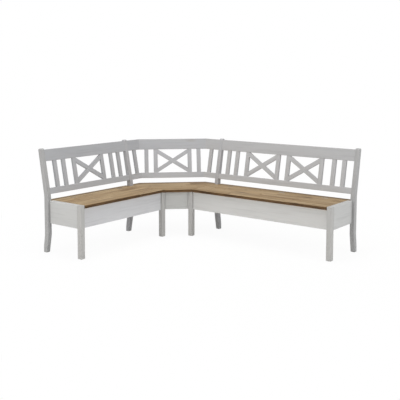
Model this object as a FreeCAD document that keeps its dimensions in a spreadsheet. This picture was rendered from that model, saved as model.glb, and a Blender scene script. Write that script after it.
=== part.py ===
import FreeCAD, Part
import math
import os
import re
import Sketcher

# Corner storage bench: two box benches with hinged lids and a fixed corner seat between them,
# under one leaning backrest of rails, slats and crossed braces.
#
# The long bench runs along +X and the short bench along -Y from the corner of the room.
# Each bench is drawn in its own frame: X along the bench, front facing -Y, Y = 0 on the rear
# faces of the back posts. The short bench is turned by 90 degrees and the diagonal by 45.

SIZES = [
    ("long_end", 2100, "corner of the room to the outer face of the long bench's end panel"),
    ("short_end", 1688, "the same for the short bench"),
    ("seam", 636, "corner of the room to the seam between a bench and the corner seat"),
    ("seat_depth", 435, "rear face of the back posts to the front of the front legs"),
    ("seat_top", 460, "top of lids and corner seat"),
    ("board", 27, "thickness of lids and corner seat"),
    ("nosing", 5, "how far a lid stands over the front legs"),
    ("box_low", 262, "lower edge of the storage boxes"),
    ("panel", 18, "thickness of box panels"),
    ("floor_panel", 12, "thickness of box floors"),
    ("floor_lift", 12, "lower edge of the panels to the floor's groove"),
    ("groove", 6, "depth of the floor's groove"),
    ("recess", 21, "front panel behind the face of the front legs"),
    ("leg", 45, "side of a front leg"),
    ("post_wide", 40, "width of a back post, seen from the front"),
    ("post_deep", 48, "depth of a back post, front to rear"),
    ("post_out", 24, "outer face of a back post beyond the end panel"),
    ("post_top", 912, "top of the back posts"),
    ("knee", 490, "height where the post's front starts to lean"),
    ("rear_knee", 502, "height where the post's rear starts to lean"),
    ("back_reach", 72, "how far the rear of the post leans back at its top"),
    ("lean", 11, "lean of the backrest in degrees"),
    ("ear", 16, "rounding of the post's top, front and rear"),
    ("ear_side", 8, "rounding of the post's top at its sides"),
    ("foot_bend", 160, "height where the foot starts to curve back"),
    ("foot_back", 28, "front of the foot drawn back at the floor"),
    ("foot_kick", 16, "rear of the foot kicked back at the floor"),
    ("heel", 55, "height of the heel's bend"),
    ("glide", 3, "thickness of a foot glide"),
    ("glide_wide", 24, "diameter of a foot glide"),
    ("rail_set", 3, "face of the rails behind the face of the posts"),
    ("rail", 24, "thickness of the backrest rails"),
    ("top_low", 318, "underside of the top rail, up the lean from the knee"),
    ("top_high", 103, "height of the top rail"),
    ("low_top", 82.5, "upper side of the bottom rail, up the lean from the knee"),
    ("low_high", 54, "height of the bottom rail"),
    ("rail_tenon", 12, "thickness of the rails' tenons"),
    ("rail_shoulder", 12, "shoulder above and below a rail's tenon"),
    ("slat_wide", 40, "width of slats and stiles"),
    ("slat", 20, "thickness of slats and stiles"),
    ("slat_set", 5, "face of the slats behind the face of the posts"),
    ("brace_wide", 38, "width of a brace's bars"),
    ("brace", 18, "thickness of a brace's bars"),
    ("brace_set", 6, "face of the braces behind the face of the posts"),
    ("tenon_wide", 28, "width of a slat's tenon"),
    ("tenon", 8, "thickness of a slat's tenon"),
    ("tenon_deep", 15, "length of a slat's tenon"),
    ("corner_cut", 330, "corner of the room to the diagonal's rear line, square to it"),
    ("short_slat", 531, "corner of the room to the slat beside the mitre"),
    ("long_bay", 342, "stile to stile across a brace on the long bench"),
    ("short_bay", 352, "the same on the short bench"),
    ("corner_bay", 346, "the same on the diagonal"),
    ("bay_gap", 109, "between the two middle stiles of the long bench"),
    ("long_step", 122, "stile to the next slat on the long bench"),
    ("short_step", 124, "the same on the short bench"),
    ("corner_step", 93, "the same on the diagonal"),
    ("long_pitch", 98, "slat to slat on the long bench"),
    ("short_pitch", 101, "the same on the short bench"),
    ("corner_panel_in", 11, "corner panel behind the line between the inner legs"),
    ("batten_wide", 40, "width of the battens under the seats"),
    ("batten", 20, "thickness of the battens under the seats"),
    ("end_batten", 24, "width of the batten inside an end panel"),
    ("batten_in", 82, "end of a lid to the middle of its outer batten"),
    ("lid_gap", 3, "gap at a lid's outer end"),
    ("seam_gap", 1.5, "half the gap at a seam between seats"),
    ("hinge_line", 76, "rear face of the posts to the hinge pins"),
    ("hinge_gap", 5, "gap between a lid and the rear strip"),
    ("hinge_in", 200, "end of a lid to the middle of its outer hinge"),
    ("hinge_long", 60, "length of a hinge"),
    ("hinge_tall", 22, "height of a hinge leaf"),
    ("leaf", 1.4, "thickness of a hinge leaf"),
    ("knuckle", 2, "radius of a hinge knuckle"),
    ("knuckle_long", 20, "length of an outer hinge knuckle"),
    ("knuckle_gap", 0.3, "gap between two knuckles"),
    ("pin", 1, "radius of a hinge pin"),
    ("pin_play", 0.05, "play of the pin in the lid's knuckle"),
    ("pin_rise", 1, "hinge pins above the seat"),
    ("eased", 2, "chamfer along posts, rails and board edges"),
    ("slat_eased", 1.5, "chamfer along slats and stiles"),
    ("rounded", 3, "rounding along the front legs"),
    ("seat_round", 5, "rounding of the seats' upper edges"),
    ("knee_bend", 350, "radius of the post's knee"),
    ("foot_curve", 250, "radius of the foot's bends"),
]

WORKED = [
    ("rear_lean", "atan(back_reach / (post_top - rear_knee)) / 1deg"),
    ("reach", "back_reach - ear * (tan(45deg + rear_lean * 0.5deg) * sin(rear_lean * 1deg)"
              " + cos(rear_lean * 1deg) - 1)"),
    ("long_post", "long_end + post_out - post_wide / 2"),
    ("short_post", "short_end + post_out - post_wide / 2"),
    ("inner_post", "seam + post_out + 4 - post_wide / 2"),
    ("centre_x", "(long_end + post_out - reach) / 2"),
    ("centre_y", "(reach - short_end - post_out) / 2"),
    ("up_back", "sin(lean * 1deg)"),
    ("up_up", "cos(lean * 1deg)"),
    ("under", "seat_top - board"),
    ("panel_front", "seat_depth - recess"),
    ("panel_rear", "seat_depth - recess - panel"),
    ("leg_rear", "seat_depth - leg"),
    ("box_floor", "box_low + floor_lift"),
    ("strip_front", "hinge_line - hinge_gap / 2"),
    ("lid_rear", "hinge_line + hinge_gap / 2"),
    ("lid_front", "seat_depth + nosing"),
    ("lid_near", "seam + seam_gap"),
    ("long_far", "long_end - panel - end_batten - lid_gap"),
    ("short_far", "short_end - panel - end_batten - lid_gap"),
    ("pin_height", "seat_top + pin_rise"),
    ("slat_back", "slat_set + slat"),
    ("slat_middle", "slat_set + slat / 2"),
    ("brace_back", "brace_set + brace"),
    ("brace_middle", "brace_set + brace / 2"),
    ("rail_middle", "rail_set + rail / 2"),
    ("open_high", "top_low - low_top"),
    ("open_middle", "(top_low + low_top) / 2"),
    ("long_middle", "(inner_post + long_post) / 2"),
    ("short_middle", "(inner_post + short_post) / 2"),
    ("mitre", "corner_cut * sqrt(2)"),
]
for bench in ("long", "short", "corner"):
    span = bench + "_clear"
    reach = "sqrt(open_high ^ 2 + %s ^ 2)" % span
    angle = "(acos(brace_wide / %s) - atan(%s / open_high))" % (reach, span)
    WORKED.append((span, bench + "_bay - slat_wide"))
    WORKED.append((bench + "_drop", "brace_wide / cos(%s)" % angle))

doc = FreeCAD.newDocument("corner_bench")
sheet = doc.addObject("Spreadsheet::Sheet", "Sizes")
for row, (alias, value, note) in enumerate(SIZES, start=1):
    sheet.set("A%d" % row, alias)
    sheet.set("B%d" % row, str(value))
    sheet.set("C%d" % row, note)
    sheet.setAlias("B%d" % row, alias)
worked = doc.addObject("Spreadsheet::Sheet", "Worked")
HOME = {alias: "Sizes." for alias, value, note in SIZES}
HOME.update({alias: "Worked." for alias, formula in WORKED})


def bound(text):
    """An expression with each size's name led by the sheet that holds it."""
    return re.sub(r"[a-z]+(_[a-z]+)*", lambda word: HOME.get(word.group(), "") + word.group(), text)


for row, (alias, formula) in enumerate(WORKED, start=1):
    worked.set("A%d" % row, alias)
    worked.set("B%d" % row, "=" + bound(formula))
    worked.setAlias("B%d" % row, alias)
doc.recompute()

TURN = {"long": 0, "short": 90, "corner": 45}


def place(thing, frame, along="0", depth="0", height="0", lean="0", turn="0"):
    """Put a body at a point of a bench's frame, tipped back by lean and turned about Z."""
    along, depth = "(%s)" % along, "(%s)" % depth
    spot = {
        "long": (along, depth),
        "short": ("-" + depth, along),
        "corner": ("(%s - %s + corner_cut) / sqrt(2)" % (along, depth),
                   "(%s + %s - corner_cut) / sqrt(2)" % (along, depth)),
    }[frame]
    text = "placement(vector(%s - centre_x; %s - centre_y; %s); rotation(%d + %s; 0; 0 - %s))"
    thing.setExpression("Placement", bound(text % (spot[0], spot[1], height, TURN[frame], turn, lean)))


def place_up_lean(thing, frame, up):
    """Put a body on the posts' front plane, up the lean from the knee."""
    place(thing, frame, "0", "%s * up_back - post_deep" % up, "knee + %s * up_up" % up, lean="lean")


def new_body(name):
    body = doc.addObject("PartDesign::Body", name)
    body.Label = name
    return body


def outline(body, plane, loops, lift="0"):
    """A sketch of straight-sided loops on one of the body's own planes, every corner bound."""
    sketch = body.newObject("Sketcher::SketchObject", body.Name + "_outline")
    base = [item for item in body.Origin.OriginFeatures if item.Role == plane][0]
    sketch.AttachmentSupport = [(base, "")]
    sketch.MapMode = "FlatFace"
    sketch.setExpression("AttachmentOffset.Base.z", bound(lift))
    first = 0
    for loop in loops:
        count = len(loop)
        spots = [FreeCAD.Vector(1, 0, 0), FreeCAD.Vector(0, 1, 0)]
        for side in range(count):
            sketch.addGeometry(Part.LineSegment(spots[0] * (side + 1), spots[1] * (side + 1)), False)
        for side in range(count):
            following = first + (side + 1) % count
            sketch.addConstraint(Sketcher.Constraint("Coincident", first + side, 2, following, 1))
        for side, corner in enumerate(loop):
            for direction, text in zip(("DistanceX", "DistanceY"), corner):
                rule = Sketcher.Constraint(direction, -1, 1, first + side, 1, side + 1.0)
                index = sketch.addConstraint(rule)
                sketch.setExpression("Constraints[%d]" % index, bound(text))
        first += count
    return sketch


def ring(body, plane, across, up, radius, lift="0"):
    """A sketch of one circle on one of the body's own planes."""
    sketch = body.newObject("Sketcher::SketchObject", body.Name + "_ring")
    base = [item for item in body.Origin.OriginFeatures if item.Role == plane][0]
    sketch.AttachmentSupport = [(base, "")]
    sketch.MapMode = "FlatFace"
    sketch.setExpression("AttachmentOffset.Base.z", bound(lift))
    sketch.addGeometry(Part.Circle(FreeCAD.Vector(1, 1, 0), FreeCAD.Vector(0, 0, 1), 1), False)
    rules = [("DistanceX", across), ("DistanceY", up)]
    for direction, text in rules:
        index = sketch.addConstraint(Sketcher.Constraint(direction, -1, 1, 0, 3, 1.0))
        sketch.setExpression("Constraints[%d]" % index, bound(text))
    index = sketch.addConstraint(Sketcher.Constraint("Radius", 0, 1.0))
    sketch.setExpression("Constraints[%d]" % index, bound(radius))
    return sketch


def box_loop(left, right, low, high):
    return [(left, low), (right, low), (right, high), (left, high)]


def pad(body, sketch, length, reverse=False):
    feature = body.newObject("PartDesign::Pad", body.Name + "_pad")
    feature.Profile = sketch
    feature.setExpression("Length", bound(length))
    feature.Reversed = reverse
    doc.recompute()
    return feature


def pocket(body, sketch, length, reverse=False):
    before = body.Shape.Volume
    feature = body.newObject("PartDesign::Pocket", body.Name + "_pocket")
    feature.Profile = sketch
    feature.setExpression("Length", bound(length))
    feature.Reversed = reverse
    doc.recompute()
    if not body.Shape.Volume < before - 1:
        raise ValueError("pocket cuts nothing in " + body.Label)
    return feature


def edge_names(shape, wanted):
    return ["Edge%d" % (index + 1) for index, edge in enumerate(shape.Edges) if wanted(edge)]


def dress(body, kind, size, wanted):
    """A fillet or chamfer along the edges that the test picks."""
    base = body.Tip
    names = edge_names(base.Shape, wanted)
    if not names:
        raise ValueError("no edge to dress in " + body.Label)
    feature = body.newObject("PartDesign::" + kind, body.Name + "_" + kind.lower())
    feature.Base = (base, names)
    feature.setExpression("Radius" if kind == "Fillet" else "Size", bound(size))
    doc.recompute()
    return feature


def runs_along(edge, axis, least=1.0):
    """True for a straight edge along one axis that is at least so long."""
    first, last = edge.Vertexes[0].Point, edge.Vertexes[-1].Point
    step = last - first
    return step.Length > least and abs(abs(step[axis]) - step.Length) < 1e-6


def edge_at(edge, axis, spots):
    """True for an edge along an axis whose other two coordinates match one of the spots."""
    others = [item for item in range(3) if item != axis]
    middle = edge.CenterOfMass
    if not runs_along(edge, axis):
        return False
    return any(abs(middle[others[0]] - a) < 0.01 and abs(middle[others[1]] - b) < 0.01 for a, b in spots)


def group(name, members):
    """Several separate solids of one kind that share a node."""
    compound = doc.addObject("Part::Compound", name)
    compound.Label = name
    compound.Links = members
    return compound


def board(name, left, right, front, rear, low, high, frame, least=0.0, grooves=()):
    """A flat panel or board with chamfered long edges, and any grooves."""
    body = new_body(name)
    pad(body, outline(body, "XY_Plane", [box_loop(left, right, front, rear)], low), "%s - (%s)" % (high, low))
    if least:
        dress(body, "Chamfer", "eased / 2",
              lambda edge: runs_along(edge, 0, least) or runs_along(edge, 1, least))
    for plane, loop, lift, depth, reverse in grooves:
        pocket(body, outline(body, plane, [loop], lift), depth, reverse)
    place(body, frame)
    return body


# Back posts: sabre foot, upright middle, leaning top with a rounded ear

def lean_loop(near, far, low, high):
    """A rectangle between two depths behind the front plane and two heights up the lean."""
    corners = []
    for depth, up in ((near, low), (far, low), (far, high), (near, high)):
        corners.append(("(%s) * up_up + (%s) * up_back - post_deep" % (depth, up),
                        "knee + (%s) * up_up - (%s) * up_back" % (up, depth)))
    return corners


def ear_corner(body, side):
    """A sketch of the corner left outside a quarter circle, at one side of the post's top."""
    sketch = body.newObject("Sketcher::SketchObject", body.Name + "_ear")
    base = [item for item in body.Origin.OriginFeatures if item.Role == "XZ_Plane"][0]
    sketch.AttachmentSupport = [(base, "")]
    sketch.MapMode = "FlatFace"
    radius = sheet.ear_side
    centre = FreeCAD.Vector(side * (sheet.post_wide / 2.0 - radius), sheet.post_top - radius, 0)
    outside = centre + FreeCAD.Vector(side * 2.0 * radius, 2.0 * radius, 0)
    top = centre + FreeCAD.Vector(0, radius, 0)
    flank = centre + FreeCAD.Vector(side * radius, 0, 0)
    circle = Part.Circle(centre, FreeCAD.Vector(0, 0, 1), radius)
    first, last = (0, math.pi / 2) if side > 0 else (math.pi / 2, math.pi)
    sketch.addGeometry(Part.ArcOfCircle(circle, first, last), False)
    sketch.addGeometry(Part.LineSegment(top, outside), False)
    sketch.addGeometry(Part.LineSegment(outside, flank), False)
    at_top, at_flank = (2, 1) if side > 0 else (1, 2)
    for rule in (("Coincident", 0, at_top, 1, 1), ("Coincident", 1, 2, 2, 1),
                 ("Coincident", 2, 2, 0, at_flank),
                 ("Vertical", 0, at_top, 0, 3), ("Horizontal", 0, at_flank, 0, 3)):
        sketch.addConstraint(Sketcher.Constraint(*rule))
    spots = [(0, 3, "(post_wide / 2 - ear_side)", "post_top - ear_side", centre),
             (1, 2, "(post_wide / 2 + ear_side)", "post_top + ear_side", outside)]
    for line, point, across, up, start in spots:
        for direction, text, value in (("DistanceX", "%d * %s" % (side, across), start.x),
                                       ("DistanceY", up, start.y)):
            index = sketch.addConstraint(Sketcher.Constraint(direction, -1, 1, line, point, value))
            sketch.setExpression("Constraints[%d]" % index, bound(text))
    index = sketch.addConstraint(Sketcher.Constraint("Radius", 0, float(radius)))
    sketch.setExpression("Constraints[%d]" % index, bound("ear_side"))
    return sketch


def back_post(name, frame, along, mortises):
    body = new_body(name)
    profile = [
        ("foot_back - post_deep", "glide"),
        ("-post_deep", "foot_bend"),
        ("-post_deep", "knee"),
        ("(post_top - knee) * tan(lean * 1deg) - post_deep", "post_top"),
        ("back_reach", "post_top"),
        ("0", "rear_knee"),
        ("0", "foot_bend"),
        ("foot_kick", "heel"),
        ("foot_kick", "glide"),
    ]
    pad(body, outline(body, "YZ_Plane", [profile], "-post_wide / 2"), "post_wide")
    corners = {(edge.CenterOfMass.y, edge.CenterOfMass.z) for edge in body.Shape.Edges if runs_along(edge, 0)}
    feet = [spot for spot in corners if sheet.glide + 1 < spot[1] < sheet.knee - 100]
    knees = [spot for spot in corners if sheet.knee - 1 < spot[1] < sheet.rear_knee + 1]
    tops = [spot for spot in corners if spot[1] > sheet.post_top - 1]
    dress(body, "Fillet", "foot_curve", lambda edge: edge_at(edge, 0, feet))
    dress(body, "Fillet", "knee_bend", lambda edge: edge_at(edge, 0, knees))
    dress(body, "Fillet", "ear", lambda edge: edge_at(edge, 0, tops))
    half = sheet.post_wide / 2.0
    dress(body, "Chamfer", "eased", lambda edge: edge.BoundBox.ZMax > sheet.glide + 1
          and edge.BoundBox.XLength < 1e-6 and abs(abs(edge.CenterOfMass.x) - half) < 1e-6)
    for side in (-1, 1):
        pocket(body, ear_corner(body, side), "2 * back_reach")
    tenon_near = "rail_middle - rail_tenon / 2"
    tenon_far = "rail_middle + rail_tenon / 2"
    for side in mortises:
        for low, high in (("top_low + rail_shoulder", "top_low + top_high - rail_shoulder"),
                          ("low_top - low_high + rail_shoulder", "low_top - rail_shoulder")):
            hole = outline(body, "YZ_Plane", [lean_loop(tenon_near, tenon_far, low, high)])
            pocket(body, hole, "post_wide / 2", reverse=side > 0)
    place(body, frame, along)
    return body


# Front legs: square and straight, eased at the foot

def front_leg(name, frame, left, top):
    body = new_body(name)
    loop = box_loop(left, left + " + leg", "-seat_depth", "-leg_rear")
    pad(body, outline(body, "XY_Plane", [loop], "glide"), "%s - glide" % top)
    dress(body, "Fillet", "rounded", lambda edge: runs_along(edge, 2))
    dress(body, "Chamfer", "eased", lambda edge: edge.BoundBox.ZMax < sheet.glide + 0.01)
    place(body, frame)
    return body


# Storage box of one bench

def storage_box(frame, far, side):
    """Panels from the seam to the end at far; side is +1 where the end lies along +X."""

    def at(distance):
        return "%+d * (%s)" % (side, distance)

    def ordered(one, other):
        return (at(one), at(other)) if side > 0 else (at(other), at(one))

    nodes = []
    left, right = ordered("seam", far + " - leg")
    groove = box_loop(left, right, "box_floor", "box_floor + floor_panel")
    nodes.append(board(frame + "_front_panel", left, right, "-panel_front", "-panel_rear", "box_low", "under",
                       frame, 500, [("XZ_Plane", groove, "panel_rear", "groove", True)]))
    left, right = ordered("inner_post", "%s_post" % frame)
    groove = box_loop(left, right, "box_floor", "box_floor + floor_panel")
    nodes.append(board(frame + "_rear_panel", left, right, "0", "panel", "box_low", "under",
                       frame, 500, [("XZ_Plane", groove, "0", "groove", False)]))
    left, right = ordered(far + " - panel", far)
    nodes.append(board(frame + "_end_panel", left, right, "-leg_rear", "-post_deep", "box_low", "seat_top",
                       frame, 100))
    left, right = ordered("seam - panel", "seam")
    nodes.append(board(frame + "_partition", left, right, "-leg_rear", "-post_deep", "box_low", "under",
                       frame, 100))

    floor = new_body(frame + "_floor_panel")
    loop = [(at("seam"), "-panel_rear - groove"), (at(far + " - leg"), "-panel_rear - groove"),
            (at(far + " - leg"), "-leg_rear"), (at(far + " - panel"), "-leg_rear"),
            (at(far + " - panel"), "-post_deep"), (at(far + " + post_out - post_wide"), "-post_deep"),
            (at(far + " + post_out - post_wide"), "groove"), (at("inner_post + post_wide / 2"), "groove"),
            (at("inner_post + post_wide / 2"), "-post_deep"), (at("seam"), "-post_deep")]
    pad(floor, outline(floor, "XY_Plane", [loop], "box_floor"), "floor_panel")
    place(floor, frame)
    nodes.append(floor)

    strip = new_body(frame + "_rear_strip")
    loop = [(at("seam + seam_gap"), "-strip_front"), (at(far + " - panel - end_batten"), "-strip_front"),
            (at(far + " - panel - end_batten"), "-post_deep"),
            (at(far + " + post_out - post_wide"), "-post_deep"),
            (at(far + " + post_out - post_wide"), "panel"), (at("inner_post + post_wide / 2"), "panel"),
            (at("inner_post + post_wide / 2"), "-post_deep"), (at("seam + seam_gap"), "-post_deep")]
    pad(strip, outline(strip, "XY_Plane", [loop], "under"), "board")
    dress(strip, "Chamfer", "eased / 2", lambda edge: runs_along(edge, 0, 500)
          and edge.BoundBox.ZMin > sheet.seat_top - 0.01)
    place(strip, frame)
    nodes.append(strip)
    return nodes


def end_batten(name, frame, left):
    return board(name, left, left + " + end_batten", "-leg_rear", "-post_deep", "under", "seat_top",
                 frame, 100)


# Lids with battens and hinges

def lid(name, frame, left, right):
    body = new_body(name)
    loop = box_loop(left, right, "-lid_front", "-lid_rear")
    pad(body, outline(body, "XY_Plane", [loop], "under"), "board")
    front = -worked.lid_front
    dress(body, "Fillet", "seat_round", lambda edge: edge_at(edge, 0, [(front, sheet.seat_top)]))
    dress(body, "Chamfer", "eased", lambda edge: edge_at(edge, 0, [(front, worked.under)]))
    dress(body, "Chamfer", "eased / 2", lambda edge: runs_along(edge, 1, 100)
          and edge.BoundBox.ZMin > sheet.seat_top - 0.01)
    place(body, frame)
    return body


def lid_battens(name, frame, middles):
    members = []
    for number, middle in enumerate(middles, start=1):
        left = "%s - batten_wide / 2" % middle
        right = "%s + batten_wide / 2" % middle
        members.append(board("%s_%d" % (name, number), left, right, "-panel_rear + 2 * batten",
                             "-lid_rear - 2 * batten", "under - batten", "under", frame, 100))
    return group(name, members)


def hinge_leaf(name, frame, along, fixed):
    """One leaf with its knuckles; the pair share the pin's line above the seat's edge."""
    body = new_body(name)
    if fixed:
        plate = ("-strip_front - leaf", "-strip_front")
        segments = [("0", "knuckle_long"), ("hinge_long - knuckle_long", "knuckle_long")]
        bore = "pin"
    else:
        plate = ("-lid_rear", "-lid_rear + leaf")
        segments = [("knuckle_long + knuckle_gap", "hinge_long - 2 * knuckle_long - 2 * knuckle_gap")]
        bore = "pin + pin_play"
    low, high = "pin_height - hinge_tall", "pin_height - 1.25 * knuckle"
    pad(body, outline(body, "YZ_Plane", [box_loop(plate[0], plate[1], low, high)]), "hinge_long")
    for start, length in segments:
        tab = box_loop(plate[0], plate[1], high + " - knuckle", "pin_height")
        pad(body, outline(body, "YZ_Plane", [tab], start), length)
        pad(body, ring(body, "YZ_Plane", "-hinge_line", "pin_height", "knuckle", start), length)
    pocket(body, ring(body, "YZ_Plane", "-hinge_line", "pin_height", bore, "hinge_long"), "hinge_long")
    place(body, frame, along)
    return body


def hinge_pin(name, frame, along):
    rod = doc.addObject("Part::Cylinder", name)
    rod.setExpression("Radius", bound("pin"))
    rod.setExpression("Height", bound("hinge_long"))
    spot = {"long": ("%s - centre_x" % along, "-hinge_line - centre_y", 0),
            "short": ("hinge_line - centre_x", "%s - centre_y" % along, 90)}[frame]
    text = "placement(vector(%s; %s; pin_height); rotation(%d; 90; 0))" % spot
    rod.setExpression("Placement", bound(text))
    return rod


# Backrest

def rail(name, frame, left, right, place_up, height, above, mortises, tenons):
    """A rail whose slat side lies on its own XY plane; above is True where it rises from there."""
    body = new_body(name)
    face, back = "rail_set", "rail_set + rail"
    pad(body, outline(body, "XY_Plane", [box_loop(left, right, face, back)]), height, reverse=not above)
    dress(body, "Chamfer", "eased", lambda edge: runs_along(edge, 0, 60))
    near, far = "rail_middle - rail_tenon / 2", "rail_middle + rail_tenon / 2"
    for end in tenons:
        inner, outer = (right, right + " + post_wide / 2") if end > 0 else (left + " - post_wide / 2", left)
        lift = "rail_shoulder" if above else "rail_shoulder - %s" % height
        loop = box_loop(inner, outer, near, far)
        pad(body, outline(body, "XY_Plane", [loop], lift), "%s - 2 * rail_shoulder" % height)
    if mortises:
        loops = [box_loop("%s - tenon_wide / 2" % middle, "%s + tenon_wide / 2" % middle,
                          "slat_middle - tenon / 2", "slat_middle + tenon / 2") for middle in mortises]
        pocket(body, outline(body, "XY_Plane", loops), "tenon_deep", reverse=above)
    place_up_lean(body, frame, place_up)
    return body


def top_rail(name, frame, left, right, mortises, tenons):
    return rail(name, frame, left, right, "top_low", "top_high", True, mortises, tenons)


def bottom_rail(name, frame, left, right, mortises, tenons):
    return rail(name, frame, left, right, "low_top", "low_high", False, mortises, tenons)


def slat(name, frame, middle):
    """An upright bar with a stub tenon at each end."""
    body = new_body(name)
    loop = box_loop("%s - slat_wide / 2" % middle, "%s + slat_wide / 2" % middle, "0", "open_high")
    pad(body, outline(body, "XZ_Plane", [loop], "-slat_back"), "slat")
    dress(body, "Chamfer", "slat_eased", lambda edge: runs_along(edge, 2, 100))
    core = box_loop("%s - tenon_wide / 2" % middle, "%s + tenon_wide / 2" % middle,
                    "-tenon_deep", "open_high + tenon_deep")
    pad(body, outline(body, "XZ_Plane", [core], "-slat_middle - tenon / 2"), "tenon")
    place_up_lean(body, frame, "low_top")
    return body


def brace(name, frame, middle, bench, rising):
    """One bar of a crossed brace, halved where it laps over the other bar."""
    body = new_body(name)
    across = "%s_clear / 2" % bench
    low, high, drop = "0", "open_high", bench + "_drop"

    def bar(up):
        left, right = "%s - %s" % (middle, across), "%s + %s" % (middle, across)
        if up:
            return [(left, low), (right, "%s - %s" % (high, drop)), (right, high), (left, drop)]
        return [(left, "%s - %s" % (high, drop)), (right, low), (right, drop), (left, high)]

    pad(body, outline(body, "XZ_Plane", [bar(rising)], "-brace_back"), "brace")
    pocket(body, outline(body, "XZ_Plane", [bar(not rising)], "-brace_middle"), "brace / 2", reverse=rising)
    place_up_lean(body, frame, "low_top")
    return body


def mitre_block(name, frame, at, keep_left):
    """A block whose face lies in the upright plane of a mitre, half of 45 degrees off square."""
    block = doc.addObject("Part::Box", name)
    block.setExpression("Length", bound("seam"))
    block.setExpression("Width", bound("seam"))
    block.setExpression("Height", bound("post_top"))
    half = "seam / 2"
    if keep_left:
        place(block, frame, "%s - %s * sin(22.5deg)" % (at, half), "-%s * cos(22.5deg)" % half, "knee / 2",
              turn="-22.5")
    else:
        place(block, frame, "%s - seam * cos(22.5deg) + %s * sin(22.5deg)" % (at, half),
              "-seam * sin(22.5deg) - %s * cos(22.5deg)" % half, "knee / 2", turn="22.5")
    return block


def mitred(name, blank, blocks):
    """The blank with a mitre cut at each block."""
    piece = blank
    for number, block in enumerate(blocks):
        cut = doc.addObject("Part::Cut", "%s_cut_%d" % (name, number))
        cut.Base = piece
        cut.Tool = block
        piece = cut
    piece.Label = name
    return piece


# Corner seat, corner panel and their battens, drawn in the frame of the room's corner

def corner_seat():
    body = new_body("corner_seat")
    edge = "(seam - seam_gap)"
    notch = "(inner_post - post_wide / 2)"
    rear_end = "(mitre - panel * sqrt(2) + panel)"
    loop = [("lid_front", "-" + edge), (edge, "-lid_front"), (edge, "-post_deep"), (notch, "-post_deep"),
            (notch, "panel"), (rear_end, "panel"), ("-panel", "-" + rear_end), ("-panel", "-" + notch),
            ("post_deep", "-" + notch), ("post_deep", "-" + edge)]
    pad(body, outline(body, "XY_Plane", [loop], "under"), "board")

    def along_front(edge_, height):
        middle = edge_.CenterOfMass
        return abs(middle.z - height) < 0.01 and middle.x - middle.y > 2 * sheet.seat_depth

    dress(body, "Fillet", "seat_round", lambda edge_: along_front(edge_, sheet.seat_top))
    dress(body, "Chamfer", "eased", lambda edge_: along_front(edge_, worked.under))
    place(body, "long")
    return body


def corner_panel():
    body = new_body("corner_front_panel")
    face = "(seat_depth - corner_panel_in * sqrt(2))"
    rear = "(seat_depth - corner_panel_in * sqrt(2) - panel * sqrt(2))"
    side = "(seam - leg)"
    loop = [(face, "-" + side), (side, "-" + face), (side, "-" + rear), (rear, "-" + side)]
    pad(body, outline(body, "XY_Plane", [loop], "box_low"), "under - box_low")
    dress(body, "Chamfer", "eased / 2", lambda edge: edge.BoundBox.ZLength < 1e-6 and edge.Length > 150)
    place(body, "long")
    return body


def corner_battens():
    members = []
    for number, side in enumerate(("-", ""), start=1):
        middle = "%slong_bay / 3" % side
        members.append(board("corner_seat_battens_%d" % number, "%s - batten_wide / 2" % middle,
                             "%s + batten_wide / 2" % middle, "-leg_rear + 2 * batten", "-post_deep - batten",
                             "under - batten", "under", "corner", 100))
    return group("corner_seat_battens", members)


def glides():
    """A disc under every foot."""
    members = []
    leg_middle = "leg_rear + leg / 2"
    foot_middle = "(foot_kick + foot_back - post_deep) / 2"
    spots = []
    for frame, side, far in (("long", "", "long_end"), ("short", "-", "short_end")):
        spots.append((frame, "%s(seam - leg / 2)" % side, "-(%s)" % leg_middle))
        spots.append((frame, "%s(%s - leg / 2)" % (side, far), "-(%s)" % leg_middle))
        spots.append((frame, "%sinner_post" % side, foot_middle))
        spots.append((frame, "%s%s_post" % (side, frame), foot_middle))
    for number, (frame, along, depth) in enumerate(spots, start=1):
        disc = doc.addObject("Part::Cylinder", "foot_glides_%d" % number)
        disc.setExpression("Radius", bound("glide_wide / 2"))
        disc.setExpression("Height", bound("glide"))
        place(disc, frame, along, depth)
        members.append(disc)
    return group("foot_glides", members)


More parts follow.
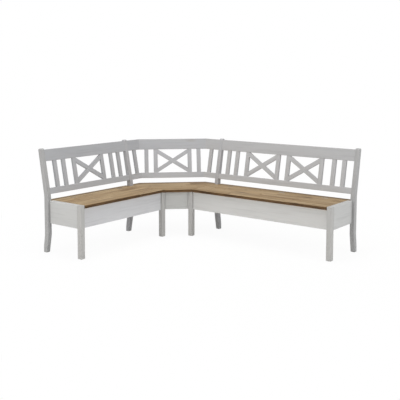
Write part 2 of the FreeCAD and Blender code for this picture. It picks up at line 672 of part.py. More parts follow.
parts = []
for frame, sign, side in (("long", "", 1), ("short", "-", -1)):
    far = frame + "_end"
    post = "%s%s_post" % (sign, frame)
    inner = sign + "inner_post"
    parts.append(back_post(frame + "_end_post", frame, post, [-side]))
    parts.append(back_post(frame + "_inner_post", frame, inner, [-1, 1]))
    end_leg = "%s - leg" % far if side > 0 else "-" + far
    inner_leg = "seam - leg" if side > 0 else "-seam"
    parts.append(front_leg(frame + "_end_leg", frame, end_leg, "seat_top"))
    parts.append(front_leg(frame + "_inner_leg", frame, inner_leg, "under"))
    parts += storage_box(frame, far, side)
    lid_ends = ("lid_near", "long_far") if side > 0 else ("-short_far", "-lid_near")
    parts.append(lid(frame + "_lid", frame, lid_ends[0], lid_ends[1]))

    # Rails, slats and braces of the straight backrests
    middle = "%s%s_middle" % (sign, frame)
    bay, step, pitch = frame + "_bay", frame + "_step", frame + "_pitch"
    if frame == "long":
        stiles = ["%s %s (bay_gap / 2 %s)" % (middle, half, more) for half, more in
                  (("-", "+ " + bay), ("-", ""), ("+", ""), ("+", "+ " + bay))]
        braces = ["%s %s (bay_gap + %s) / 2" % (middle, half, bay) for half in "-+"]
        outer = "bay_gap / 2 + %s + %s" % (bay, step)
    else:
        stiles = ["%s %s %s / 2" % (middle, half, bay) for half in "-+"]
        braces = [middle]
        outer = "%s / 2 + %s" % (bay, step)
    slats = ["%s %s (%s%s)" % (middle, half, outer, more) for half in "-+" for more in ("", " + " + pitch)]
    mortises = sorted(stiles + slats)
    ends = (inner, post) if side > 0 else (post, inner)
    left, right = ends[0] + " + post_wide / 2", ends[1] + " - post_wide / 2"
    parts.append(top_rail(frame + "_top_rail", frame, left, right, mortises, [-1, 1]))
    parts.append(bottom_rail(frame + "_bottom_rail", frame, left, right, mortises, [-1, 1]))
    for kind, middles in (("stiles", stiles), ("slats", slats)):
        name = "%s_%s" % (frame, kind)
        parts.append(group(name, [slat("%s_%d" % (name, number), frame, spot)
                                  for number, spot in enumerate(middles, start=1)]))
    for number, spot in enumerate(braces, start=1):
        name = frame + ("_brace_%d" % number if len(braces) > 1 else "_brace")
        parts.append(brace(name + "_rising", frame, spot, frame, True))
        parts.append(brace(name + "_falling", frame, spot, frame, False))

    # Short rails that run from the inner post to the mitre, with one slat
    spot = sign + "short_slat"
    if side > 0:
        left, right = "mitre - leg", inner + " - post_wide / 2"
    else:
        left, right = inner + " + post_wide / 2", "leg - mitre"
    for maker, height in ((top_rail, "top"), (bottom_rail, "bottom")):
        short = maker("%s_corner_%s_blank" % (frame, height), frame, left, right, [spot], [side])
        block = mitre_block("%s_%s_block" % (frame, height), frame, sign + "mitre", side < 0)
        parts.append(mitred("%s_corner_%s_rail" % (frame, height), short, [block]))
    parts.append(slat(frame + "_corner_slat", frame, spot))

# Diagonal of the backrest
stiles = ["-corner_bay / 2", "corner_bay / 2"]
slats = ["-corner_bay / 2 - corner_step", "corner_bay / 2 + corner_step"]
for maker, height in ((top_rail, "top"), (bottom_rail, "bottom")):
    blank = maker("diagonal_%s_blank" % height, "corner", "-corner_cut - leg", "corner_cut + leg",
                  stiles + slats, [])
    blocks = [mitre_block("diagonal_%s_block_1" % height, "corner", "-corner_cut", False),
              mitre_block("diagonal_%s_block_2" % height, "corner", "corner_cut", True)]
    parts.append(mitred("diagonal_%s_rail" % height, blank, blocks))
for kind, middles in (("stiles", stiles), ("slats", slats)):
    name = "diagonal_" + kind
    parts.append(group(name, [slat("%s_%d" % (name, number), "corner", spot)
                              for number, spot in enumerate(middles, start=1)]))
parts.append(brace("diagonal_brace_rising", "corner", "0", "corner", True))
parts.append(brace("diagonal_brace_falling", "corner", "0", "corner", False))

# Seats of the corner and the pieces that both benches share
parts += [corner_seat(), corner_panel(), corner_battens(), glides()]
parts.append(group("end_battens", [end_batten("end_battens_1", "long", "long_end - panel - end_batten"),
                                   end_batten("end_battens_2", "short", "-short_end + panel")]))
parts.append(lid_battens("long_lid_battens", "long",
                         ["(lid_near + batten_in)", "((lid_near + long_far) / 2)", "(long_far - batten_in)"]))
parts.append(lid_battens("short_lid_battens", "short",
                         ["(batten_in - short_far)", "(-lid_near - batten_in)"]))

# Three hinges on the long lid and two on the short one
half = "hinge_long / 2"
hinges = [("long", "lid_near + hinge_in - %s" % half), ("long", "(lid_near + long_far) / 2 + batten_wide"),
          ("long", "long_far - hinge_in - %s" % half), ("short", "hinge_in - short_far - %s" % half),
          ("short", "0 - lid_near - hinge_in - %s" % half)]
fixed, pins = [], []
moving = {"long": [], "short": []}
for number, (frame, along) in enumerate(hinges, start=1):
    fixed.append(hinge_leaf("hinge_fixed_leaves_%d" % number, frame, along, True))
    pins.append(hinge_pin("hinge_pins_%d" % number, frame, along))
    moving[frame].append(hinge_leaf("%s_lid_hinge_leaves_%d" % (frame, number), frame, along, False))
parts.append(group("hinge_fixed_leaves", fixed))
parts.append(group("hinge_pins", pins))
for frame in ("long", "short"):
    parts.append(group(frame + "_lid_hinge_leaves", moving[frame]))

doc.recompute()

# Every object must have been made, and every sub-part must be a sound solid
for thing in doc.Objects:
    if "Invalid" in thing.State or "Error" in thing.State:
        raise ValueError("not made: " + thing.Label)
os.makedirs("parts", exist_ok=True)
names = [part.Label for part in parts]
if len(set(names)) != len(names) or len(names) > 60:
    raise ValueError("sub-part names")
for part in parts:
    if part.Shape.isNull() or not part.Shape.isValid() or not part.Shape.Solids:
        raise ValueError("not sound: " + part.Label)
    part.Shape.exportStep("parts/%s.step" % part.Label)
whole = Part.makeCompound([part.Shape for part in parts])
print(len(parts), "sub-parts", sum(len(part.Shape.Solids) for part in parts), "solids", whole.BoundBox)
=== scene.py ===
import math

import bmesh
import bpy
from mathutils import Matrix, Vector


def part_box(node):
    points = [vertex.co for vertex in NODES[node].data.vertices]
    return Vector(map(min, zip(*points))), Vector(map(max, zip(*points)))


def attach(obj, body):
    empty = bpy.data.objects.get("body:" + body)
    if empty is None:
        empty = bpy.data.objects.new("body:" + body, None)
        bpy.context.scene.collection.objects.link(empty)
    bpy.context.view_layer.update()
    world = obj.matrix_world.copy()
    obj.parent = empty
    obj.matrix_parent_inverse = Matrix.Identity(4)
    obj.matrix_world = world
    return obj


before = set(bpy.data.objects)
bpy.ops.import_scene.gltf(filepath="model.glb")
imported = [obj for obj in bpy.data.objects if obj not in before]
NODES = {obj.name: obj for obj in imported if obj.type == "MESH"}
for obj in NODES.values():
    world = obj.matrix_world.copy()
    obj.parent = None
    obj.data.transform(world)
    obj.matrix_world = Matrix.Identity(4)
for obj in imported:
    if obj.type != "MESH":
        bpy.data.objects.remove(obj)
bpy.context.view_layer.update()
BENCHES = ("long", "short")

# Directions of the grain: along each part of the bench, across it, and up its leaning backrest
LEAN = math.radians(11)
UPRIGHT = Vector((0, 0, 1))
DOWN = Vector((0, 0, -1))
ALONG = {
    "long": Vector((1, 0, 0)),
    "short": Vector((0, 1, 0)),
    "diagonal": Vector((1, 1, 0)).normalized(),
}
ACROSS = {
    "long": ALONG["short"],
    "short": ALONG["long"],
    "diagonal": Vector((1, -1, 0)).normalized(),
}
UP = {
    "long": Vector((0, math.sin(LEAN), math.cos(LEAN))),
    "short": Vector((-math.sin(LEAN), 0, math.cos(LEAN))),
    "diagonal": Vector((-math.sin(LEAN), math.sin(LEAN), math.cos(LEAN) * math.sqrt(2))).normalized(),
}

# The bars of a brace rise this many millimetres over these runs
BAR_RISE = 192
BAR_RUN = {"long": 306, "short": 316, "diagonal": 310}

# Paint tones as they show on screen, 0 to 255, and how the rails step from the slats' tone, which is
# painted light and shade: the bottom rails are lighter to offset the shade the seat throws on them, and
# the top rails are darker to offset their fuller light from above
PANEL = {"long": (202, 201, 199), "short": (201, 201, 203)}
END = (192, 192, 191)
CORNER = (188, 188, 186)
LEG = (180, 179, 177)
POST = {"end": (168, 168, 168), "inner": (174, 174, 176)}
BACKREST = {"long": (179, 179, 180), "short": (172, 173, 176), "diagonal": (174, 175, 178)}
RAIL_PAINTED_LIGHT_STEP = {"top": -3, "bottom": 4}
GLIDE = (84, 82, 80)

# Where each look starts in its pattern, so that no two are alike
SEED = {
    "post": 0.3, "leg": 0.9, "panel": 0.7, "end": 1.9, "rail": 1.3, "slat": 2.1, "brace": 1.1,
    "corner_panel": 2.7, "diagonal_rail": 3.4, "diagonal_slat": 4.1,
    "long_seat": 0.4, "short_seat": 3.3, "corner_seat": 5.2, "batten": 0.0,
}

# Staves of the seats, in metres
STAVE_WIDE = 0.088
STAVE_LONG = 0.55

# Screws, in metres: radii of the heads, height above the wood, and places on a hinge leaf
HINGE_SCREW = 0.003
BATTEN_SCREW = 0.0038
PANEL_SCREW = 0.0042
PROUD = 0.0003
LEAF_THICK = 0.0014
LEAF_SCREW_HEIGHTS = (0.006, 0.009, 0.006)

# A fixed leaf shorter than this along a bench belongs to the other bench
SHORTEST_LEAF = 0.05

# Places of the screws along a part, as shares of its length
LEAF_SHARES = (0.15, 0.5, 0.85)
LID_BATTEN_SHARES = (0.1, 0.37, 0.63, 0.9)
PANEL_SHARES = (0.18, 0.5, 0.82)

# The same for the corner's battens, as shares of their half length to both sides of the middle
CORNER_BATTEN_SHARES = (-0.8, -0.27, 0.27, 0.8)

# From a post's middle to its row of panel screws, and off the end of a corner batten, in metres
PANEL_SCREW_INSET = 0.0095
BATTEN_END = 0.02

# Vertices closer than this, in metres, are one
SAME_PLACE = 1e-6

# The axis along each bench, and the way that its rear faces
AXIS = {"long": 0, "short": 1}
REARWARD = {"long": Vector((0, 1, 0)), "short": Vector((-1, 0, 0))}

# Floor and world
FLOOR_HALF = 30
FLOOR_TONE = (0.86, 0.86, 0.85, 1)
WHITE = (1, 1, 1, 1)
SHADOW_NEAR, SHADOW_FAR = 1.0, 2.6
NEAR_WHITE = 0.94
WORLD_LIGHT = 0.4

# Soft lamps: place and aim in metres, side of the square in metres, watts, colour
LAMPS = {
    "top_lamp": ((-0.2, -0.3, 4.6), (-0.3, 0.1, 0.4), 3.0, 120, (1, 1, 1)),
    "left_lamp": ((-0.9, -5.0, 2.0), (-0.2, 0.4, 0.4), 3.0, 92, (1, 0.99, 0.97)),
    "right_lamp": ((5.2, 0.35, 2.0), (-0.4, 0.1, 0.4), 3.0, 95, (0.98, 0.99, 1)),
    "rear_lamp": ((-4.4, 4.4, 2.4), (-0.3, 0.3, 0.4), 3.0, 90, (1, 1, 1)),
}

# The photograph's camera: pixels, millimetres of sensor, metres, radians
FRAME_PIXELS = 400
FOCAL_PIXELS = 689.542
SENSOR = 36
CAMERA_PLACE = (3.62271, -4.77144, 1.55891)
CAMERA_DOWN = 0.08958
CAMERA_TURN = 0.67401
CAMERA_SHIFT = (0.042, -0.16)


class Tree:
    """A material's node tree, with short calls for the nodes used here."""

    def __init__(self, name):
        self.material = bpy.data.materials.new(name)
        self.material.use_nodes = True
        self.nodes = self.material.node_tree.nodes
        self.links = self.material.node_tree.links
        self.shader = self.nodes["Principled BSDF"]

    def add(self, kind, values=None, **settings):
        node = self.nodes.new("ShaderNode" + kind)
        for key, value in settings.items():
            setattr(node, key, value)
        for key, value in (values or {}).items():
            self.put(node.inputs[key], value)
        return node

    def put(self, socket, value):
        if isinstance(value, bpy.types.NodeSocket):
            self.links.new(value, socket)
        else:
            socket.default_value = value

    def math(self, operation, first, second=0.0):
        return self.add("Math", {0: first, 1: second}, operation=operation).outputs[0]

    def times(self, first, second):
        return self.math("MULTIPLY", first, second)

    def plus(self, first, second):
        return self.math("ADD", first, second)

    def minus(self, first, second):
        return self.math("SUBTRACT", first, second)

    def smooth(self, value, low, high):
        """0 at low, 1 at high, with soft ends."""
        node = self.add("MapRange", {"Value": value, "From Min": low, "From Max": high},
                        interpolation_type="SMOOTHSTEP")
        return node.outputs["Result"]

    def between(self, value, low, high):
        """Low to high in a straight line over the middle range of a noise."""
        node = self.add("MapRange", {"Value": value, "From Min": 0.3, "From Max": 0.7,
                                     "To Min": low, "To Max": high})
        return node.outputs["Result"]

    def blend(self, amount, first, second, kind="MIX"):
        node = self.add("Mix", data_type="RGBA", blend_type=kind)
        self.put(node.inputs[0], amount)
        self.put(node.inputs[6], first)
        self.put(node.inputs[7], second)
        return node.outputs[2]

    def tint(self, colour, mask, share, tone):
        """The colour, turned towards a tone by a share of a mask."""
        return self.blend(self.times(mask, share), colour, tone)

    def noise(self, vector, detail=3.0, rough=0.55, distortion=0.0, scale=1.0):
        node = self.add("TexNoise", {"Vector": vector, "Scale": scale, "Detail": detail,
                                     "Roughness": rough, "Distortion": distortion})
        return node.outputs["Fac"]

    def cells(self, vector, channel=0, dimensions="3D"):
        """The distance from the nearest cell's centre, and that cell's number by chance."""
        node = self.add("TexVoronoi", {"Vector": vector, "Scale": 1.0}, voronoi_dimensions=dimensions)
        chance = self.add("SeparateColor", {"Color": node.outputs["Color"]}).outputs[channel]
        return node.outputs["Distance"], chance

    def place(self):
        return self.add("TexCoord").outputs["Object"]

    def grain_space(self, direction, seed):
        """Position along the grain, across it and through it, in metres."""
        along = Vector(direction).normalized()
        upright = UPRIGHT if abs(along.z) < 0.9 else ALONG["short"]
        across = along.cross(upright).normalized()
        through = along.cross(across)
        place = self.place()
        parts = []
        for number, axis in enumerate((along, across, through)):
            node = self.add("VectorMath", {0: place, 1: tuple(axis)}, operation="DOT_PRODUCT")
            parts.append(self.plus(node.outputs["Value"], seed * (1.7 + number)))
        return parts

    def spread(self, parts, scales):
        """A vector of cycles per metre along, across and through the grain."""
        scaled = [self.times(part, scale) for part, scale in zip(parts, scales)]
        return self.add("CombineXYZ", dict(enumerate(scaled))).outputs[0]

    def edges(self, radius):
        """1 along outer edges, 0 on flats."""
        soft = self.add("Bevel", {"Radius": radius}, samples=4).outputs[0]
        true = self.add("NewGeometry").outputs["Normal"]
        same = self.add("VectorMath", {0: soft, 1: true}, operation="DOT_PRODUCT").outputs["Value"]
        return self.smooth(self.minus(1.0, same), 0.01, 0.2)

    def finish(self, colour, roughness, specular=None, metallic=None):
        self.put(self.shader.inputs["Base Color"], colour)
        self.put(self.shader.inputs["Roughness"], roughness)
        if specular is not None:
            self.shader.inputs["Specular IOR Level"].default_value = specular
        if metallic is not None:
            self.shader.inputs["Metallic"].default_value = metallic

    def bump(self, height, distance, strength):
        node = self.add("Bump", {"Height": height, "Distance": distance, "Strength": strength})
        self.put(self.shader.inputs["Normal"], node.outputs[0])


def rgb(red, green, blue):
    """A colour as it shows on screen, 0 to 255, turned to linear light."""
    def line(value):
        value /= 255
        return value / 12.92 if value <= 0.04045 else ((value + 0.055) / 1.055) ** 2.4
    return (line(red), line(green), line(blue), 1)


def painted(name, direction, tone, seed):
    """White stain on brushed softwood: faint streaks, a few tinted knots, edges worn a little."""
    tree = Tree(name)
    pale = rgb(*tone)
    shade = rgb(*[value * 0.945 for value in tone])
    warm = rgb(tone[0] * 0.93, tone[1] * 0.905, tone[2] * 0.87)

    parts = tree.grain_space(direction, seed)
    sway = tree.times(tree.noise(tree.spread(parts, (2.2, 5, 5)), detail=1.0), 0.02)
    bent = [parts[0], tree.plus(parts[1], sway), parts[2]]
    streak = tree.noise(tree.spread(bent, (2.6, 85, 60)), detail=4.0, rough=0.62)
    fine = tree.noise(tree.spread(bent, (9, 430, 300)), detail=2.0, rough=0.6)
    cloud = tree.noise(tree.spread(parts, (1.6, 6, 6)), detail=2.0)
    away, chance = tree.cells(tree.spread(parts, (2.4, 8, 8)))
    knot = tree.times(tree.smooth(away, 0.17, 0.03), tree.smooth(chance, 0.72, 0.8))
    # Edges tinted warm where the stain is worn
    edge_wear_and_highlight = tree.times(tree.edges(0.003), tree.smooth(streak, 0.42, 0.7))

    colour = tree.tint(pale, tree.smooth(streak, 0.48, 0.72), 0.8, shade)
    colour = tree.tint(colour, tree.smooth(fine, 0.5, 0.75), 0.2, warm)
    colour = tree.tint(colour, tree.smooth(cloud, 0.5, 0.8), 0.4, shade)
    colour = tree.tint(colour, knot, 0.55, warm)
    colour = tree.tint(colour, edge_wear_and_highlight, 0.5, warm)
    tree.finish(colour, tree.between(streak, 0.5, 0.66), specular=0.35)
    tree.bump(tree.plus(tree.times(streak, 0.7), tree.times(fine, 0.3)), distance=0.0009, strength=0.5)
    return tree.material


def oiled(name, direction, seed):
    """Brown waxed wood glued up from staves, with streaks, scattered knots and dark side faces."""
    light, middle, deep = rgb(191, 167, 131), rgb(135, 112, 83), rgb(98, 73, 47)
    grey, knot_tone, seam_tone = rgb(236, 230, 222), rgb(66, 46, 31), rgb(96, 70, 46)
    side_light, side_dark = rgb(98, 73, 46), rgb(64, 45, 26)
    slide, lift = 7.3, 3.1
    tree = Tree(name)

    # Each stave is slid along by chance, and each block of it is cut from another depth
    parts = tree.grain_space(direction, seed)
    stave = tree.math("DIVIDE", parts[1], STAVE_WIDE)
    row = tree.math("FLOOR", stave)
    chance = tree.add("TexWhiteNoise", {"W": row}, noise_dimensions="1D").outputs["Value"]
    slid = tree.plus(parts[0], tree.times(chance, slide))
    block = tree.math("FLOOR", tree.math("DIVIDE", slid, STAVE_LONG))
    number = tree.add("CombineXYZ", {0: row, 1: block}).outputs[0]
    tone = tree.add("TexWhiteNoise", {"Vector": number}, noise_dimensions="3D").outputs["Value"]
    lifted = tree.plus(parts[2], tree.times(tone, lift))
    sway = tree.times(tree.noise(tree.spread([slid, parts[1], lifted], (1.8, 6, 6)), detail=2.0), 0.035)
    bent = [slid, tree.plus(parts[1], sway), lifted]

    # Large knots push the streaks aside, small ones are only dark
    away, chance = tree.cells(tree.spread(bent, (2.1, 8.5, 1.0)))
    chosen = tree.smooth(chance, 0.52, 0.6)
    near = tree.times(tree.smooth(away, 0.34, 0.0), chosen)
    core = tree.times(tree.smooth(away, 0.17, 0.06), chosen)
    away, chance = tree.cells(tree.spread(bent, (12, 19, 0)), channel=1, dimensions="2D")
    small = tree.times(tree.smooth(away, 0.22, 0.1), tree.smooth(chance, 0.93, 0.95))
    knot = tree.math("MAXIMUM", core, tree.times(small, 0.8))
    pushed = [bent[0], tree.plus(bent[1], tree.times(near, 0.03)), bent[2]]

    rings = tree.noise(tree.spread(pushed, (1.6, 46, 22)), detail=6.0, rough=0.66, distortion=0.3)
    streak = tree.noise(tree.spread(pushed, (4, 150, 60)), detail=3.0, rough=0.6)
    pore = tree.noise(tree.spread(pushed, (22, 900, 600)), detail=1.0, rough=0.5)
    seam = tree.math("ABSOLUTE", tree.minus(tree.minus(stave, row), 0.5))
    rise = tree.add("SeparateXYZ", {0: tree.add("TexCoord").outputs["Normal"]}).outputs[2]
    side = tree.smooth(tree.math("ABSOLUTE", rise), 0.8, 0.35)
    side_tone = tree.blend(tree.smooth(streak, 0.4, 0.65), side_light, side_dark)
    # Edges lightened along the rings: partly wear, partly a painted highlight along the edges
    edge_wear_and_highlight = tree.times(tree.edges(0.004), tree.smooth(rings, 0.35, 0.6))

    colour = tree.blend(tree.smooth(rings, 0.34, 0.66), light, middle)
    colour = tree.tint(colour, tree.smooth(streak, 0.52, 0.74), 0.55, deep)
    colour = tree.tint(colour, tree.smooth(pore, 0.56, 0.7), 0.3, deep)
    ashen = tree.blend(1.0, colour, grey, "MULTIPLY")
    colour = tree.blend(tree.smooth(tone, 0.15, 0.95), colour, ashen)
    colour = tree.tint(colour, near, 0.35, deep)
    colour = tree.tint(colour, knot, 0.85, knot_tone)
    colour = tree.tint(colour, tree.smooth(seam, 0.482, 0.498), 0.4, seam_tone)
    colour = tree.blend(side, colour, side_tone)
    colour = tree.tint(colour, edge_wear_and_highlight, 0.25, light)
    tree.finish(colour, tree.between(streak, 0.42, 0.58), specular=0.2)
    tree.bump(tree.minus(tree.times(rings, 0.6), tree.times(pore, 0.4)), distance=0.0012, strength=0.45)
    return tree.material


def raw(name, direction):
    """Planed softwood: straight yellow and orange bands with small knots."""
    tree = Tree(name)
    parts = tree.grain_space(direction, SEED["batten"])
    band = tree.noise(tree.spread(parts, (1.1, 110, 40)), detail=3.0, rough=0.5, distortion=0.2)
    fine = tree.noise(tree.spread(parts, (10, 600, 300)), detail=2.0)
    away, chance = tree.cells(tree.spread(parts, (3, 14, 14)))
    knot = tree.times(tree.smooth(away, 0.14, 0.05), tree.smooth(chance, 0.75, 0.8))
    colour = tree.blend(tree.smooth(band, 0.42, 0.62), rgb(219, 190, 148), rgb(196, 158, 110))
    colour = tree.tint(colour, tree.smooth(fine, 0.5, 0.7), 0.3, rgb(178, 140, 96))
    colour = tree.tint(colour, knot, 0.8, rgb(122, 78, 46))
    tree.finish(colour, 0.62)
    tree.bump(band, distance=0.0008, strength=0.4)
    return tree.material


def plated(name):
    """Dull zinc plate on pressed steel, brushed, with darker handling marks."""
    tree = Tree(name)
    place = tree.place()
    stretched = tree.add("Mapping", {"Vector": place, "Scale": (60, 60, 2600)}).outputs[0]
    cloud = tree.noise(place, detail=3.0, rough=0.6, scale=120.0)
    brush = tree.noise(stretched, detail=2.0)
    colour = tree.blend(tree.smooth(cloud, 0.35, 0.7), rgb(196, 197, 193), rgb(150, 150, 146))
    tree.finish(colour, tree.between(cloud, 0.28, 0.5), metallic=1.0)
    tree.bump(brush, distance=0.0001, strength=0.4)
    return tree.material


def moulded(name, tone):
    """Grained plastic with dust in the grain."""
    tree = Tree(name)
    place = tree.place()
    grain = tree.noise(place, detail=2.0, rough=0.6, scale=900.0)
    dust = tree.noise(place, detail=3.0, rough=0.6, scale=60.0)
    dusty = rgb(*[value * 1.5 for value in tone])
    tree.finish(tree.tint(rgb(*tone), tree.smooth(dust, 0.45, 0.7), 0.5, dusty), 0.55)
    tree.bump(grain, distance=0.0003, strength=0.5)
    return tree.material


def rail_paint(part, place, seed):
    """Paint for a top or bottom rail, a step darker or lighter than the slats: painted shade on the top
    rail to offset its fuller light, and painted light on the bottom rail to offset the shade of the seat
    below it.
    """
    tone = [value + RAIL_PAINTED_LIGHT_STEP[place] for value in BACKREST[part]]
    return painted("%s_%s_rail_paint" % (part, place), ALONG[part], tone, seed)


def dress_hardware(looks, steel):
    """Hinges and foot glides."""
    for node in ("hinge_fixed_leaves", "hinge_pins", "long_lid_hinge_leaves", "short_lid_hinge_leaves"):
        looks[node] = steel
    looks["foot_glides"] = moulded("glide_plastic", GLIDE)


def dress_posts(looks):
    """Posts and legs."""
    leg = painted("leg_paint", UPRIGHT, LEG, SEED["leg"])
    for place, tone in POST.items():
        post = painted(place + "_post_paint", UPRIGHT, tone, SEED["post"])
        for bench in BENCHES:
            looks["%s_%s_post" % (bench, place)] = post
            looks["%s_%s_leg" % (bench, place)] = leg


def dress_box(looks, bench):
    """The panels of one bench's box."""
    panel = painted(bench + "_panel_paint", ALONG[bench], PANEL[bench], SEED["panel"])
    end = painted(bench + "_end_paint", ACROSS[bench], END, SEED["end"])
    for name in ("front_panel", "rear_panel", "floor_panel"):
        looks["%s_%s" % (bench, name)] = panel
    for name in ("end_panel", "partition"):
        looks["%s_%s" % (bench, name)] = end


def dress_backrest(looks, bench):
    """The rails, slats and stiles of one bench's backrest."""
    slat = painted(bench + "_slat_paint", UP[bench], BACKREST[bench], SEED["slat"])
    for name in ("slats", "stiles", "corner_slat"):
        looks["%s_%s" % (bench, name)] = slat
    for place in RAIL_PAINTED_LIGHT_STEP:
        rail = rail_paint(bench, place, SEED["rail"])
        looks["%s_%s_rail" % (bench, place)] = rail
        looks["%s_corner_%s_rail" % (bench, place)] = rail


def dress_seat(looks, bench):
    """One bench's lid, the strip behind it and the battens under it."""
    seat = oiled(bench + "_seat_wood", ALONG[bench], SEED[bench + "_seat"])
    looks[bench + "_lid"] = seat
    looks[bench + "_rear_strip"] = seat
    looks[bench + "_lid_battens"] = raw(bench + "_batten_wood", ACROSS[bench])


def dress_corner(looks):
    """The fixed corner seat, its front panel and the diagonal part of the backrest."""
    slat = painted("diagonal_slat_paint", UP["diagonal"], BACKREST["diagonal"], SEED["diagonal_slat"])
    looks["diagonal_slats"] = slat
    looks["diagonal_stiles"] = slat
    for place in RAIL_PAINTED_LIGHT_STEP:
        looks["diagonal_%s_rail" % place] = rail_paint("diagonal", place, SEED["diagonal_rail"])
    looks["corner_seat"] = oiled("corner_seat_wood", ALONG["diagonal"], SEED["corner_seat"])
    looks["corner_seat_battens"] = raw("corner_batten_wood", ACROSS["diagonal"])
    looks["corner_front_panel"] = painted(
        "corner_panel_paint", ALONG["diagonal"], CORNER, SEED["corner_panel"])


def dress_braces(looks):
    """The crossed bars, with the grain along each bar."""
    for part, run in BAR_RUN.items():
        for lean, sign in (("rising", 1), ("falling", -1)):
            along = ALONG[part] * run + UP[part] * BAR_RISE * sign
            look = painted("%s_%s_paint" % (part, lean), along, BACKREST[part], SEED["brace"])
            for node in NODES:
                if node.startswith(part + "_brace") and node.endswith(lean):
                    looks[node] = look


steel = plated("zinc_plate")
looks = {}
dress_hardware(looks, steel)
dress_posts(looks)
for bench in BENCHES:
    dress_box(looks, bench)
    dress_backrest(looks, bench)
    dress_seat(looks, bench)
dress_corner(looks)
dress_braces(looks)
looks["end_battens"] = looks["long_end_panel"]

for name, node in NODES.items():
    node.data.materials.clear()
    node.data.materials.append(looks[name])


def screw_head(mesh, place, out, radius):
    """A countersunk head with a cross recess, seated so that it stands proud by a hair."""
    steps, quarters = 16, 4
    rim = [(radius * 0.9, PROUD), (radius, PROUD * 0.55), (radius, -0.0004)]
    slot_wide, slot_long, slot_deep = radius * 0.14, radius * 0.62, radius * 0.35
    slot_taper = 0.55
    at = Matrix.Translation(place) @ out.to_track_quat("Z", "Y").to_matrix().to_4x4()

    def vertex(x, y, z):
        return mesh.verts.new(at @ Vector((x, y, z)))

    rings = []
    for reach, height in rim:
        turns = [math.tau * step / steps for step in range(steps)]
        rings.append([vertex(reach * math.cos(turn), reach * math.sin(turn), height) for turn in turns])
    for upper, lower in zip(rings, rings[1:]):
        for step in range(steps):
            after = (step + 1) % steps
            mesh.faces.new((upper[step], lower[step], lower[after], upper[after]))
    mesh.faces.new(list(reversed(rings[-1])))

    # The cross, sunk and drawn in: in each quarter an arm's corner, an inner corner, the next arm's corner
    corners = [Vector((slot_long, slot_wide, 0)), Vector((slot_wide, slot_wide, 0)),
               Vector((slot_wide, slot_long, 0))]
    cross = []
    for quarter in range(quarters):
        spin = Matrix.Rotation(math.tau * quarter / quarters, 4, "Z")
        cross += [spin @ corner for corner in corners]
    high = [vertex(spot.x, spot.y, PROUD) for spot in cross]
    low = [vertex(spot.x * slot_taper, spot.y * slot_taper, -slot_deep) for spot in cross]
    count = len(cross)
    for step in range(count):
        after = (step + 1) % count
        mesh.faces.new((high[after], high[step], low[step], low[after]))
    mesh.faces.new(low)

    # The face between the rim and the cross
    share = steps // quarters
    for quarter in range(quarters):
        base = quarter * len(corners)
        arm, inner, next_arm = high[base:base + len(corners)]
        following = high[(base + len(corners)) % count]
        fan = [rings[0][(quarter * share + step) % steps] for step in range(share + 1)]
        mesh.faces.new([arm] + fan + [next_arm, inner])
        mesh.faces.new([next_arm, fan[-1], following])


def screws(name, body, spots, radius):
    """One piece with a screw head at each spot, riding on a body."""
    mesh = bmesh.new()
    for place, out in spots:
        screw_head(mesh, place, out, radius)
    bmesh.ops.recalc_face_normals(mesh, faces=mesh.faces)
    data = bpy.data.meshes.new(name)
    mesh.to_mesh(data)
    mesh.free()
    data.materials.append(steel)
    piece = bpy.data.objects.new(name, data)
    bpy.context.scene.collection.objects.link(piece)
    for face in data.polygons:
        face.use_smooth = False
    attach(piece, body)


def solid_boxes(node):
    """The box of each separate solid of a node, in metres, in order."""
    mesh = bmesh.new()
    mesh.from_mesh(NODES[node].data)
    bmesh.ops.remove_doubles(mesh, verts=mesh.verts, dist=SAME_PLACE)
    left = set(mesh.verts)
    found = []
    while left:
        first = left.pop()
        island, queue = [first], [first]
        while queue:
            for edge in queue.pop().link_edges:
                for vertex in edge.verts:
                    if vertex in left:
                        left.discard(vertex)
                        island.append(vertex)
                        queue.append(vertex)
        low = Vector([min(vertex.co[axis] for vertex in island) for axis in range(3)])
        high = Vector([max(vertex.co[axis] for vertex in island) for axis in range(3)])
        found.append((low, high))
    mesh.free()
    return sorted(found, key=lambda pair: tuple(pair[0]))


def side(low, high, axis, way):
    """Where a box ends along an axis, on the side that a direction points to."""
    return high[axis] if way[axis] > 0 else low[axis]


def leaf_screws(bench, low, high, out):
    """Three screws in a hinge leaf, the middle one higher, with their heads facing out."""
    axis = AXIS[bench]
    deep = 1 - axis
    spots = []
    for share, height in zip(LEAF_SHARES, LEAF_SCREW_HEIGHTS):
        spot = Vector((0, 0, low.z + height))
        spot[axis] = low[axis] + (high[axis] - low[axis]) * share
        spot[deep] = side(low, high, deep, -out) + out[deep] * LEAF_THICK
        spots.append((spot, out))
    return spots


def hinge_screws(bench):
    """Screws in the leaves on a lid and in the leaves on the strip behind it."""
    axis = AXIS[bench]
    rearward = REARWARD[bench]
    spots = []
    for low, high in solid_boxes(bench + "_lid_hinge_leaves"):
        spots += leaf_screws(bench, low, high, rearward)
    screws(bench + "_lid_hinge_screws", bench + "_lid", spots, HINGE_SCREW)
    spots = []
    for low, high in solid_boxes("hinge_fixed_leaves"):
        if high[axis] - low[axis] >= SHORTEST_LEAF:
            spots += leaf_screws(bench, low, high, -rearward)
    screws(bench + "_fixed_hinge_screws", "frame", spots, HINGE_SCREW)


def lid_batten_screws(bench):
    """Screws up through the battens under a lid."""
    axis = AXIS[bench]
    deep = 1 - axis
    spots = []
    for low, high in solid_boxes(bench + "_lid_battens"):
        for share in LID_BATTEN_SHARES:
            spot = Vector((0, 0, low.z))
            spot[axis] = (low[axis] + high[axis]) / 2
            spot[deep] = low[deep] + (high[deep] - low[deep]) * share
            spots.append((spot, DOWN))
    screws(bench + "_batten_screws", bench + "_lid", spots, BATTEN_SCREW)


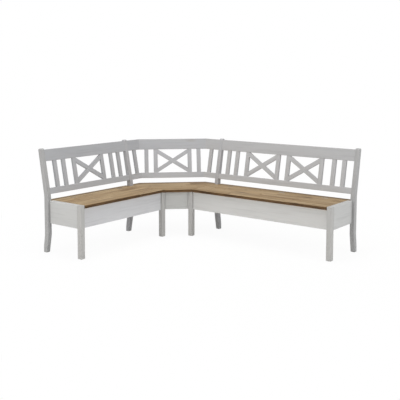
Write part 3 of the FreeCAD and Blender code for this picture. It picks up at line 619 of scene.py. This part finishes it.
def rear_panel_screws(bench):
    """Screws through the ends of a rear panel into the posts."""
    axis = AXIS[bench]
    deep = 1 - axis
    rearward = REARWARD[bench]
    low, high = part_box(bench + "_rear_panel")
    spots = []
    for post in ("inner_post", "end_post"):
        post_low, post_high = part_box("%s_%s" % (bench, post))
        middle = (post_low[axis] + post_high[axis]) / 2
        inset = PANEL_SCREW_INSET if middle < (low[axis] + high[axis]) / 2 else -PANEL_SCREW_INSET
        for share in PANEL_SHARES:
            spot = Vector((0, 0, low.z + (high.z - low.z) * share))
            spot[axis] = middle + inset
            spot[deep] = side(low, high, deep, rearward)
            spots.append((spot, rearward))
    screws(bench + "_rear_panel_screws", "frame", spots, PANEL_SCREW)


def corner_batten_screws():
    """Screws up through the battens under the corner seat, which lie across the diagonal."""
    spots = []
    for low, high in solid_boxes("corner_seat_battens"):
        middle = (low + high) / 2
        half = (high.x - low.x) / math.sqrt(2) - BATTEN_END
        for share in CORNER_BATTEN_SHARES:
            spot = middle + ACROSS["diagonal"] * half * share
            spots.append((Vector((spot.x, spot.y, low.z)), DOWN))
    screws("corner_batten_screws", "frame", spots, BATTEN_SCREW)


for bench in BENCHES:
    hinge_screws(bench)
    lid_batten_screws(bench)
    rear_panel_screws(bench)
corner_batten_screws()


def white_floor():
    """A pale floor that keeps a faint shadow near the bench and is white to the camera further off."""
    mesh = bmesh.new()
    bmesh.ops.create_grid(mesh, x_segments=4, y_segments=4, size=FLOOR_HALF)
    data = bpy.data.meshes.new("floor")
    mesh.to_mesh(data)
    mesh.free()
    floor = bpy.data.objects.new("floor", data)
    bpy.context.scene.collection.objects.link(floor)

    tree = Tree("floor_white")
    tree.finish(FLOOR_TONE, 0.9, specular=0.0)
    glow = tree.add("Emission", {"Color": WHITE, "Strength": 1.0}).outputs[0]
    seen = tree.add("LightPath").outputs["Is Camera Ray"]
    away = tree.add("VectorMath", {0: tree.place()}, operation="LENGTH").outputs["Value"]
    far = tree.add("MapRange", {"Value": away, "From Min": SHADOW_NEAR, "From Max": SHADOW_FAR,
                                "To Min": NEAR_WHITE, "To Max": 1.0}, interpolation_type="SMOOTHSTEP")
    share = tree.times(seen, far.outputs["Result"])
    mixed = tree.add("MixShader", {0: share, 1: tree.shader.outputs[0], 2: glow}).outputs[0]
    tree.put(tree.nodes["Material Output"].inputs[0], mixed)
    floor.data.materials.append(tree.material)


def white_world():
    """Even soft light from all round, and plain white to the camera."""
    world = bpy.data.worlds.new("studio")
    bpy.context.scene.world = world
    world.use_nodes = True
    nodes, links = world.node_tree.nodes, world.node_tree.links
    ambient = nodes["Background"]
    white = nodes.new("ShaderNodeBackground")
    for node, strength in ((ambient, WORLD_LIGHT), (white, 1.0)):
        node.inputs["Color"].default_value = WHITE
        node.inputs["Strength"].default_value = strength
    choose = nodes.new("ShaderNodeMixShader")
    links.new(nodes.new("ShaderNodeLightPath").outputs["Is Camera Ray"], choose.inputs[0])
    links.new(ambient.outputs[0], choose.inputs[1])
    links.new(white.outputs[0], choose.inputs[2])
    links.new(choose.outputs[0], nodes["World Output"].inputs[0])


def lamp(name, place, aim, size, power, colour):
    """A soft square lamp."""
    data = bpy.data.lights.new(name, "AREA")
    data.shape = "SQUARE"
    data.size = size
    data.energy = power
    data.color = colour
    light = bpy.data.objects.new(name, data)
    light.location = place
    light.rotation_mode = "QUATERNION"
    light.rotation_quaternion = (Vector(aim) - Vector(place)).to_track_quat("-Z", "Y")
    bpy.context.scene.collection.objects.link(light)
    return light


def photo_camera():
    """The camera solved from the photograph's straight edges, shifted less to keep other views whole."""
    data = bpy.data.cameras.new("camera")
    data.sensor_width = SENSOR
    data.lens = FOCAL_PIXELS / FRAME_PIXELS * SENSOR
    data.shift_x, data.shift_y = CAMERA_SHIFT
    camera = bpy.data.objects.new("camera", data)
    camera.location = CAMERA_PLACE
    camera.rotation_euler = (math.pi / 2 - CAMERA_DOWN, 0, CAMERA_TURN)
    bpy.context.scene.collection.objects.link(camera)
    bpy.context.scene.camera = camera


white_floor()
white_world()
lamps = {name: lamp(name, *values) for name, values in LAMPS.items()}

# The lamp behind lights the rear faces and makes no glare on the seats
lamps["rear_lamp"].visible_glossy = False
photo_camera()
bpy.context.scene.view_settings.view_transform = "Standard"
